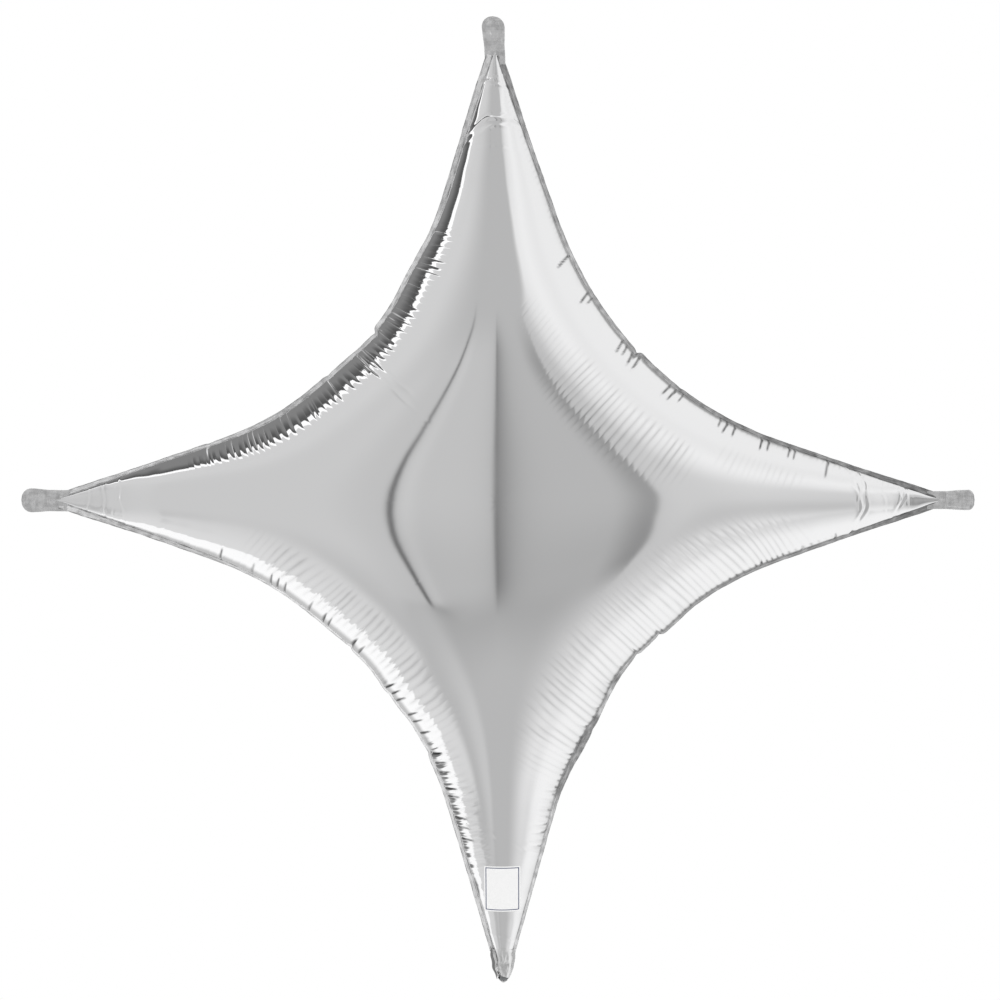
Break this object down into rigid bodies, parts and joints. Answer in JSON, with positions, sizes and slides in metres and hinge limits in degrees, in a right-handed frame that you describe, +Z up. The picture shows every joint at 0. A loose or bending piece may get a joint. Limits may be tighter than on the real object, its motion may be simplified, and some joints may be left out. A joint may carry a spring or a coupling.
{
  "type": "star foil balloon",
  "caption": "Inflated star of silver metallised film with long pointed arms, a heat-sealed border, flat tabs on its points and an open filling tail.",
  "frame": {"origin": "middle of the star on its seal plane, where the air holds it up", "axes": "+Z up, from the tail to the top point; the front faces -Y; +X is to the right seen from the front"},
  "size_m": [1.144, 0.3372, 1.16],
  "materials": {
    "foil": "mirror-like silver metallised film",
    "seal_foil": "heat-sealed metallised film, duller and crinkled",
    "valve_film": "clear thin film"
  },
  "bodies": {
    "root": {"front_panel": "foil", "rear_panel": "foil", "seal_upper_right": "seal_foil", "seal_upper_left": "seal_foil", "seal_lower_left": "seal_foil", "seal_lower_right": "seal_foil", "tab_right": "seal_foil", "tab_left": "seal_foil", "tab_top": "seal_foil", "tail_neck": "seal_foil", "valve_sleeve": "valve_film"}
  },
  "joints": []
}
